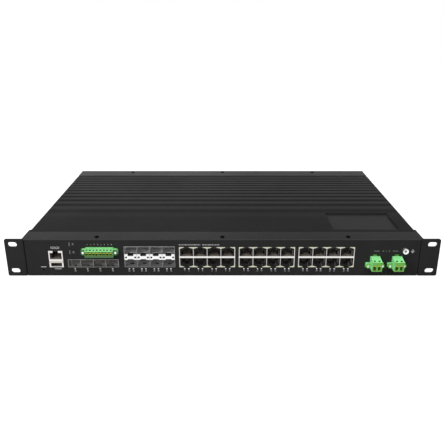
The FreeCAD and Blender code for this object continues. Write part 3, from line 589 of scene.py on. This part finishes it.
SLOT_FINISHES = {
    "case_black": COAT, "lid_black": LID, "screw_black": BLACK_SCREW, "shield": SHIELD, "cage": CAGE,
    "black_plastic": BLACK_PLASTIC, "green_plastic": GREEN_PLASTIC, "ivory_plastic": IVORY_PLASTIC,
    "clear": CLEAR_LENS, "board": BOARD, "chip": CHIP, "pad": PAD, "aluminium": ALUMINIUM, "brass": BRASS,
    "steel": STEEL, "capacitor": FILM, "core": CORE,
}
NODE_FINISHES = {
    "front_panel": PANEL_COAT, "console_housing": CONSOLE_PLASTIC, "alarm_plug": ALARM_PLASTIC,
    "alarm_header": ALARM_PLASTIC, "sfp_separators": BAND, "sfp_light_pipes": PIPE,
    "sfp_cage_base": CAGE_FLOOR, "sfp_plus_cage": DEEP_SHADED_CAGE, "sfp_plus_base": DEEP_SHADED_CAGE,
    "sfp_plus_dividers": DEEP_SHADED_CAGE,
}


def dress_nodes():
    """Each node takes the finish of its material slot, and a few have one of their own."""
    finishes = {subpart["node"]: SLOT_FINISHES[subpart["material_slot"]]
                for subpart in frame["record"]["subparts"]}
    finishes.update(NODE_FINISHES)
    for block in JACK_BLOCKS:
        finishes[f"rj45_shield_{block}"] = JACK_SHIELD
        finishes[f"rj45_housing_{block}"] = JACK_PLASTIC
        finishes[f"rj45_inserts_{block}"] = JACK_INSERT
    for name, material in finishes.items():
        frame["nodes"][name].material_slots[0].material = material


# Geometry trees for what repeats

def geometry_tree(name, inputs):
    """Empty geometry tree with named inputs; returns the tree, what it is given and what it puts out."""
    tree = bpy.data.node_groups.new(name, "GeometryNodeTree")
    tree.interface.new_socket("Geometry", in_out="INPUT", socket_type="NodeSocketGeometry")
    for label, kind in inputs.items():
        tree.interface.new_socket(label, in_out="INPUT", socket_type=f"NodeSocket{kind}")
    tree.interface.new_socket("Geometry", in_out="OUTPUT", socket_type="NodeSocketGeometry")
    return tree, node(tree, "NodeGroupInput").outputs, node(tree, "NodeGroupOutput").inputs


def vector(tree, x=0.0, y=0.0, z=0.0):
    return node(tree, "ShaderNodeCombineXYZ", {0: x, 1: y, 2: z}).outputs[0]


def point_facing(tree):
    """The direction that each point carries."""
    carried = node(tree, "GeometryNodeInputNamedAttribute", {"Name": "facing"}, data_type="FLOAT_VECTOR")
    return carried.outputs[0]


def facing_rotation(tree):
    """Turn Z to the direction that each point carries."""
    turned = node(tree, "FunctionNodeAlignRotationToVector", {"Vector": point_facing(tree)}, axis="Z")
    return turned.outputs[0]


def on_points(tree, given, result, piece, rotation):
    """End a tree: the piece on each point, as real geometry in the chosen finish."""
    placed = node(tree, "GeometryNodeInstanceOnPoints", {
        "Points": given["Geometry"], "Instance": piece, "Rotation": rotation})
    real = node(tree, "GeometryNodeRealizeInstances", {"Geometry": placed.outputs[0]})
    dressed = node(tree, "GeometryNodeSetMaterial", {
        "Geometry": real.outputs[0], "Material": given["Finish"]})
    tree.links.new(dressed.outputs[0], result["Geometry"])
    return tree


def cut_away(tree, body, tool):
    made = node(tree, "GeometryNodeMeshBoolean", {"Mesh 1": body, "Mesh 2": tool}, operation="DIFFERENCE",
                solver="MANIFOLD")
    return made.outputs[0]


def screw_tree():
    """Screw heads with a slot or a cross recess, each turned to its own angle."""
    tree, given, result = geometry_tree("recessed_screws", {
        "Radius": "Float", "Height": "Float", "Edge": "Float", "Recess Length": "Float",
        "Recess Width": "Float", "Recess Depth": "Float", "Cross": "Bool", "Seed": "Int",
        "Finish": "Material"})
    top = math_node(tree, "SUBTRACT", given["Radius"], given["Edge"])
    head = node(tree, "GeometryNodeMeshCone", {
        "Vertices": SCREW_SIDES, "Radius Top": top, "Radius Bottom": given["Radius"],
        "Depth": given["Height"]})
    deep = product(tree, given["Recess Depth"], 2.0)
    bar_size = vector(tree, given["Recess Length"], given["Recess Width"], deep)
    bar = node(tree, "GeometryNodeMeshCube", {"Size": bar_size})
    lifted = node(tree, "GeometryNodeTransform", {
        "Geometry": bar.outputs[0], "Translation": vector(tree, z=given["Height"])})
    crossed = node(tree, "GeometryNodeTransform", {
        "Geometry": lifted.outputs[0], "Rotation": (0.0, 0.0, math.radians(90))})
    slotted = cut_away(tree, head.outputs[0], lifted.outputs[0])
    chosen = node(tree, "GeometryNodeSwitch", {
        "Switch": given["Cross"], "False": slotted,
        "True": cut_away(tree, slotted, crossed.outputs[0])}, input_type="GEOMETRY")
    angle = node(tree, "FunctionNodeRandomValue", {"Max": math.pi, "Seed": given["Seed"]}, data_type="FLOAT")
    roll = node(tree, "FunctionNodeEulerToRotation", {0: vector(tree, z=angle.outputs["Value"])})
    turned = node(tree, "FunctionNodeRotateRotation", {0: facing_rotation(tree), 1: roll.outputs[0]},
                  rotation_space="LOCAL")
    return on_points(tree, given, result, chosen.outputs[0], turned.outputs[0])


def contact_tree():
    """A comb of sprung contact wires in each jack, rising from the side away from the latch."""
    tree, given, result = geometry_tree("jack_contacts", {
        "Count": "Int", "Pitch": "Float", "Wire": "Float", "Reach": "Float", "Lift": "Float",
        "Finish": "Material"})
    first_bend = product(tree, given["Reach"], CONTACT_BEND)
    last_bend = product(tree, given["Reach"], 1 - CONTACT_BEND)
    path = node(tree, "GeometryNodeCurvePrimitiveBezierSegment", {
        "Resolution": CONTACT_STEPS, "Start": vector(tree), "Start Handle": vector(tree, y=first_bend),
        "End Handle": vector(tree, y=last_bend, z=given["Lift"]),
        "End": vector(tree, y=given["Reach"], z=given["Lift"])})
    section = node(tree, "GeometryNodeCurvePrimitiveQuadrilateral", {
        "Width": given["Wire"], "Height": given["Wire"]})
    wire = node(tree, "GeometryNodeCurveToMesh", {
        "Curve": path.outputs[0], "Profile Curve": section.outputs[0], "Fill Caps": True})
    gaps = math_node(tree, "SUBTRACT", given["Count"], 1.0)
    start = product(tree, gaps, given["Pitch"], -0.5)
    comb_points = node(tree, "GeometryNodeMeshLine", {
        "Count": given["Count"], "Start Location": vector(tree, x=start),
        "Offset": vector(tree, x=given["Pitch"])})
    comb = node(tree, "GeometryNodeInstanceOnPoints", {
        "Points": comb_points.outputs[0], "Instance": wire.outputs[0]})
    upward = node(tree, "ShaderNodeSeparateXYZ", {0: point_facing(tree)}).outputs["Z"]
    turn = product(tree, math_node(tree, "LESS_THAN", upward, 0.0), math.pi)
    rotation = node(tree, "FunctionNodeEulerToRotation", {0: vector(tree, y=turn)})
    return on_points(tree, given, result, comb.outputs[0], rotation.outputs[0])


def lens_tree():
    """Low round lenses, one for each light."""
    tree, given, result = geometry_tree("light_lenses", {
        "Radius": "Float", "Bulge": "Float", "Finish": "Material"})
    ball = node(tree, "GeometryNodeMeshUVSphere", {
        "Segments": LENS_SEGMENTS, "Rings": LENS_RINGS, "Radius": 1.0})
    flat = node(tree, "GeometryNodeTransform", {
        "Geometry": ball.outputs[0], "Scale": vector(tree, given["Radius"], given["Radius"], given["Bulge"])})
    smooth = node(tree, "GeometryNodeSetShadeSmooth", {"Geometry": flat.outputs[0]})
    return on_points(tree, given, result, smooth.outputs[0], facing_rotation(tree))


SCREWS = screw_tree()
COMBS = contact_tree()
LENSES = lens_tree()


def mesh_piece(name, mesh):
    piece = bpy.data.objects.new(name, mesh)
    bpy.context.scene.collection.objects.link(piece)
    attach(piece, "switch")
    return piece


def grown(name, tree, places, values):
    """Run a tree on points, each with the direction it faces, and keep the result as a plain mesh."""
    points = bpy.data.meshes.new(f"{name}_points")
    points.from_pydata([place for place, facing in places], [], [])
    points.attributes.new("facing", "FLOAT_VECTOR", "POINT")
    for item, (place, facing) in zip(points.attributes["facing"].data, places):
        item.vector = facing
    carrier = bpy.data.objects.new(f"{name}_carrier", points)
    bpy.context.scene.collection.objects.link(carrier)
    modifier = carrier.modifiers.new("grow", "NODES")
    modifier.node_group = tree
    for socket in tree.interface.items_tree:
        if socket.in_out == "INPUT" and socket.name in values:
            modifier[socket.identifier] = values[socket.name]
    ready = carrier.evaluated_get(bpy.context.evaluated_depsgraph_get())
    mesh = bpy.data.meshes.new_from_object(ready)
    bpy.data.objects.remove(carrier)
    mesh.name = name
    return mesh_piece(name, mesh)


# Places read from the frame

OUT = Vector((0, -1, 0))
UP = Vector((0, 0, 1))
DOWN = Vector((0, 0, -1))


def middle(node_name):
    low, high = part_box(node_name)
    return (low + high) / 2


def row(x, count, pitch):
    """Places on X of a row with its middle at x."""
    return [x + (step - (count - 1) / 2) * pitch for step in range(count)]


def jack_columns(block):
    return row(middle(f"rj45_shield_{block}").x, COLUMNS, JACK_PITCH)


def pairs(columns, offset):
    """Places on X at both sides of each column."""
    return [x + side * offset for x in columns for side in (-1, 1)]


port_light_z = middle("port_light_bars").z
sfp_columns = row(middle("sfp_cage").x, COLUMNS, CAGE_PITCH)
sfp_plus_columns = row(middle("sfp_plus_cage").x, COLUMNS, CAGE_PITCH)
all_jack_columns = [x for block in JACK_BLOCKS for x in jack_columns(block)]


def port_light_places():
    places = pairs(sfp_columns + all_jack_columns, LIGHT_PAIR / 2) + sfp_plus_columns
    return [(Vector((x, FACE, port_light_z)), OUT) for x in places]


def system_light_places():
    """The highest light is at the head of its tower, and every light has the size of a port light's bar."""
    half_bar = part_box("port_light_bars")[1].z - port_light_z
    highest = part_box("system_light_tower")[1].z - half_bar
    x = middle("system_light_tower").x
    return [(Vector((x, FACE, highest - step * SYSTEM_LIGHT_PITCH)), OUT) for step in range(SYSTEM_LIGHTS)]


def pipe_head_places():
    low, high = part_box("sfp_light_pipes")
    return [(Vector((x, low.y, high.z - PIPE_SIZE / 2)), OUT) for x in pairs(sfp_columns, PIPE_OFFSET)]


def contact_places():
    places = []
    lift = JACK_MIDDLE_BAR / 2 + CONTACT_WIRE
    for block in JACK_BLOCKS:
        z = middle(f"rj45_shield_{block}").z
        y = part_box(f"rj45_housing_{block}")[0].y + CONTACT_INSET
        for x in jack_columns(block):
            places.append((Vector((x, y, z + lift)), UP))
            places.append((Vector((x, y, z - lift)), DOWN))
    low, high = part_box("console_housing")
    floor = low.z + CONSOLE_JACK_FLOOR + CONTACT_WIRE
    places.append((Vector(((low.x + high.x) / 2, low.y + CONTACT_INSET, floor)), UP))
    return places


def lenses(name, places, radius, bulge, material):
    grown(name, LENSES, places, {"Radius": radius, "Bulge": bulge, "Finish": material})


def build_lights_and_contacts():
    lenses("port_light_lenses", port_light_places(), LIGHT_RADIUS, LIGHT_BULGE, CLEAR_LENS)
    lenses("system_light_lenses", system_light_places(), SYSTEM_LIGHT_RADIUS, LIGHT_BULGE, DARK_LENS)
    lenses("light_pipe_heads", pipe_head_places(), PIPE_HEAD_RADIUS, PIPE_HEAD_BULGE, PIPE)
    grown("jack_contacts", COMBS, contact_places(),
          {"Count": CONTACTS, "Pitch": CONTACT_PITCH, "Wire": CONTACT_WIRE, "Reach": CONTACT_REACH,
           "Lift": CONTACT_LIFT, "Finish": CONTACT})


# Screws

def recess_depth(height):
    return min(height * RECESS_SHARE, RECESS_LIMIT)


def screws(name, places, head, recess, material, seed, cross):
    """Screw heads at the places, with a cross or a slot."""
    radius, height = head
    length, width = recess
    values = {"Radius": radius, "Height": height, "Edge": radius * SCREW_EDGE_SHARE, "Recess Length": length,
              "Recess Width": width, "Recess Depth": recess_depth(height), "Cross": cross, "Seed": seed,
              "Finish": material}
    return grown(name, SCREWS, places, values)


def build_case_screws():
    low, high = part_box("case_screw_heads")
    radius = CASE_SCREW_RADIUS
    places = [(Vector((x, y, low.z)), UP) for y in (low.y + radius, high.y - radius)
              for x in (low.x + radius, (low.x + high.x) / 2, high.x - radius)]
    head = (radius, high.z - low.z)
    case = screws("case_screws", places, head, CASE_RECESS, BLACK_SCREW, seed=3, cross=True)
    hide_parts("case_screw_heads")


def build_ear_screws():
    low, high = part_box("ear_screw_heads")
    radius = (high.y - low.y) / 2
    height = high.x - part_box("rack_ear_right")[0].x - EAR_SHEET
    places = [(Vector((side * (high.x - height), (low.y + high.y) / 2, z)), Vector((side, 0, 0)))
              for side in (-1, 1) for z in (low.z + radius, high.z - radius)]
    ears = screws("ear_screws", places, (radius, height), EAR_RECESS, BLACK_SCREW, seed=5,
                  cross=True)
    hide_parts("ear_screw_heads")


def build_earth_screw():
    low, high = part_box("earth_screw")
    centre = (low + high) / 2
    height = high.y - low.y
    seat = Vector((centre.x, high.y, centre.z))
    head = ((high.x - low.x) / 2, height)
    earth = screws("earth_terminal_screw", [(seat, OUT)], head, EARTH_RECESS, STEEL, seed=1,
                   cross=True)
    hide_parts("earth_screw")
    # A dark disc at the floor of the screw's recess: painted shade.
    recess = Vector((centre.x, low.y + recess_depth(height), centre.z))
    lenses("earth_screw_recess_shade", [(recess, OUT)], EARTH_RECESS_SHADE_RADIUS, EARTH_RECESS_SHADE_BULGE, SHADE_DARK_STEEL)


def flange_places(header, poles_width, rise):
    low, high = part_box(header)
    offset = (poles_width + 2 * PLUG_CHEEK + high.x - low.x) / 4
    return [(Vector((x, FACE - FLANGE_THICKNESS, low.z + rise)), OUT)
            for x in pairs([(low.x + high.x) / 2], offset)]


def build_flange_screws():
    places = flange_places("alarm_header", ALARM_POLES * ALARM_PITCH, ALARM_FLANGE_RISE)
    for number in POWER_PLUGS:
        places += flange_places(f"power_header_{number}", POWER_POLES * POWER_PITCH, POWER_FLANGE_RISE)
    screws("flange_screws", places, FLANGE_HEAD, FLANGE_RECESS, STEEL, seed=8, cross=False)


def clamp_places(plug, jaws, inset, poles, pitch):
    """Clamp screws stand on the jaws and show in the wells of the plug."""
    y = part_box(plug)[0].y + inset
    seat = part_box(jaws)[1].z
    return [(Vector((x, y, seat)), UP) for x in row(middle(plug).x, poles, pitch)]


def build_clamp_screws():
    # The clamp screws are dark steel: painted shade in the wells.
    places = clamp_places("alarm_plug", "alarm_jaws", ALARM_WELL_INSET, ALARM_POLES, ALARM_PITCH)
    screws("alarm_clamp_screws", places, ALARM_CLAMP_HEAD, ALARM_CLAMP_RECESS, SHADE_DARK_STEEL, seed=4,
           cross=False)
    places = []
    for number in POWER_PLUGS:
        places += clamp_places(f"power_plug_{number}", "power_jaws", POWER_WELL_INSET, POWER_POLES,
                               POWER_PITCH)
    screws("power_clamp_screws", places, POWER_CLAMP_HEAD, POWER_CLAMP_RECESS, SHADE_DARK_STEEL, seed=6,
           cross=False)


# Print on the panel: numbers, signs and lines

class Print:
    """Collects flat ink on the panel's face."""

    def __init__(self):
        self.points = []
        self.faces = []

    def line(self, x0, x1, z0, z1):
        first = len(self.points)
        self.points += [(x0, z0), (x1, z0), (x1, z1), (x0, z1)]
        self.faces.append((first, first + 1, first + 2, first + 3))

    def bar(self, x, z, edges):
        left, right, foot, head = edges
        self.line(x + left * MM, x + right * MM, z + foot * MM, z + head * MM)

    def dashes(self, x0, x1, z):
        """Strokes of several widths in a row."""
        step = 0
        while x0 + DASH_WIDTHS[step % len(DASH_WIDTHS)] < x1:
            width = DASH_WIDTHS[step % len(DASH_WIDTHS)]
            self.line(x0, x0 + width, z, z + DASH_HEIGHT)
            x0 += width + DASH_GAP
            step += 1

    def ground_sign(self, x, z):
        stroke = GROUND_SIGN_STROKE
        self.line(x - stroke / 2, x + stroke / 2, z, z + GROUND_SIGN_SIZE)
        for step in range(GROUND_SIGN_BARS):
            half = GROUND_SIGN_SIZE * (1 - GROUND_SIGN_TAPER * step)
            head = z - step * GROUND_SIGN_STEP
            self.line(x - half, x + half, head - stroke, head)

    def text(self, words, x, z, height):
        curve = bpy.data.curves.new("ink_text", "FONT")
        curve.body = words
        curve.size = height
        curve.align_x = "CENTER"
        curve.align_y = "CENTER"
        curve.resolution_u = TEXT_STEPS
        written = bpy.data.objects.new("ink_text", curve)
        flat = bpy.data.meshes.new_from_object(written)
        first = len(self.points)
        self.points += [(x + v.co.x, z + v.co.y) for v in flat.vertices]
        self.faces += [tuple(first + i for i in face.vertices) for face in flat.polygons]
        bpy.data.objects.remove(written)
        bpy.data.meshes.remove(flat)

    def lay(self, name, ink):
        mesh = bpy.data.meshes.new(name)
        mesh.from_pydata([(x, FACE - INK_LIFT, z) for x, z in self.points], [], self.faces)
        mesh.materials.append(ink)
        mesh_piece(name, mesh)


def build_white_print():
    ink = Print()
    lights = pairs(all_jack_columns + sfp_columns, LIGHT_PAIR / 2) + sfp_plus_columns
    for number, x in enumerate(lights, 1):
        ink.text(str(number), x, port_light_z - NUMBER_DROP, NUMBER_HEIGHT)
    for pole, x in enumerate(row(middle("alarm_plug").x, ALARM_POLES, ALARM_PITCH), 1):
        ink.text(str(pole), x, panel_high.z - POLE_NUMBER_DROP, POLE_NUMBER_HEIGHT)
    serial_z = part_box("console_shield")[1].z + SERIAL_SIGN_RISE
    ink.text(SERIAL_SIGN, middle("console_shield").x, serial_z, SERIAL_SIGN_HEIGHT)
    earth = middle("earth_screw")
    ink.ground_sign(earth.x + GROUND_SIGN_OFFSET, earth.z)
    ink.lay("panel_print", INK)


def build_grey_print():
    ink = Print()
    sign_z = middle("earth_screw").z - POWER_SIGN_DROP
    left = middle("power_plug_1").x
    right = middle("power_plug_2").x
    ink.bar(left, sign_z, FIRST_POWER_BAR)
    ink.bar(right, sign_z, SECOND_POWER_BAR)
    sign_places = row((left + right) / 2 + POWER_SIGN_SHIFT, len(POWER_SIGNS), POWER_SIGN_PITCH)
    for sign, x in zip(POWER_SIGNS, sign_places):
        ink.text(sign, x, sign_z, POWER_SIGN_HEIGHT)
    low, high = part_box("rj45_shield_1")
    width = high.x - low.x
    for start, end in DASH_RUNS:
        ink.dashes(low.x + start * width, low.x + end * width, high.z + DASH_RISE)
    reset = middle("reset_button")
    ink.bar(reset.x, reset.z, RESET_BAR)
    ink.bar(middle("console_shield").x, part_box("console_shield")[0].z, CONSOLE_BAR)
    for place, facing in system_light_places():
        ink.bar(place.x, place.z, SYSTEM_LIGHT_BAR)
    ink.lay("panel_print_grey", GREY_INK)


# Studio: floor, light and camera

def seen_directly(tree):
    """One for rays that show a surface: straight from the camera, mirrored or refracted."""
    path = node(tree, "ShaderNodeLightPath").outputs
    mirrored = math_node(tree, "MAXIMUM", path["Is Glossy Ray"], path["Is Transmission Ray"])
    return math_node(tree, "MAXIMUM", path["Is Camera Ray"], mirrored)


def build_world():
    world = bpy.data.worlds.new("studio")
    bpy.context.scene.world = world
    world.use_nodes = True
    tree = world.node_tree
    backdrop = tree.nodes["Background"]
    backdrop.inputs["Color"].default_value = WHITE
    tree.links.new(ramp(tree, seen_directly(tree), low=AMBIENT), backdrop.inputs["Strength"])


def build_floor():
    material = bpy.data.materials.new("pale_floor")
    material.use_nodes = True
    tree = material.node_tree
    shader = tree.nodes["Principled BSDF"]
    shader.inputs["Base Color"].default_value = FLOOR_TONE
    shader.inputs["Roughness"].default_value = FLOOR_ROUGHNESS
    shader.inputs["Specular IOR Level"].default_value = 0.0
    shader.inputs["Emission Color"].default_value = WHITE
    tree.links.new(product(tree, seen_directly(tree), FLOOR_OWN_LIGHT), shader.inputs["Emission Strength"])
    z = cad_box[0][2]
    corners = [(x * FLOOR_REACH, y * FLOOR_REACH, z) for x, y in ((-1, -1), (1, -1), (1, 1), (-1, 1))]
    mesh = bpy.data.meshes.new("floor")
    mesh.from_pydata(corners, [], [(0, 1, 2, 3)])
    mesh.materials.append(material)
    floor = bpy.data.objects.new("floor", mesh)
    bpy.context.scene.collection.objects.link(floor)


def softbox(name, place, aim, width, height, power):
    lamp = bpy.data.lights.new(name, "AREA")
    lamp.shape = "RECTANGLE"
    lamp.size = width
    lamp.size_y = height
    lamp.energy = power
    stand = bpy.data.objects.new(name, lamp)
    stand.location = place
    stand.rotation_euler = (Vector(aim) - Vector(place)).to_track_quat("-Z", "Y").to_euler()
    bpy.context.scene.collection.objects.link(stand)


def build_camera():
    camera = bpy.data.cameras.new("photo_camera")
    camera.sensor_width = SENSOR_WIDTH
    camera.sensor_fit = "HORIZONTAL"
    camera.lens = FOCAL_PIXELS / PHOTO_WIDTH * SENSOR_WIDTH
    camera.shift_x = SHIFT_PIXELS / PHOTO_WIDTH
    camera.clip_start = CAMERA_NEAR
    view = bpy.data.objects.new("photo_camera", camera)
    view.location = CAMERA_PLACE
    view.rotation_euler = (math.radians(90 - CAMERA_DIP), 0.0, 0.0)
    bpy.context.scene.collection.objects.link(view)
    bpy.context.scene.camera = view


dress_nodes()
build_lights_and_contacts()
build_case_screws()
build_ear_screws()
build_earth_screw()
build_flange_screws()
build_clamp_screws()
build_white_print()
build_grey_print()
build_world()
build_floor()
for lamp_name, settings in LAMPS.items():
    softbox(lamp_name, *settings)
build_camera()
bpy.context.scene.view_settings.view_transform = "Standard"
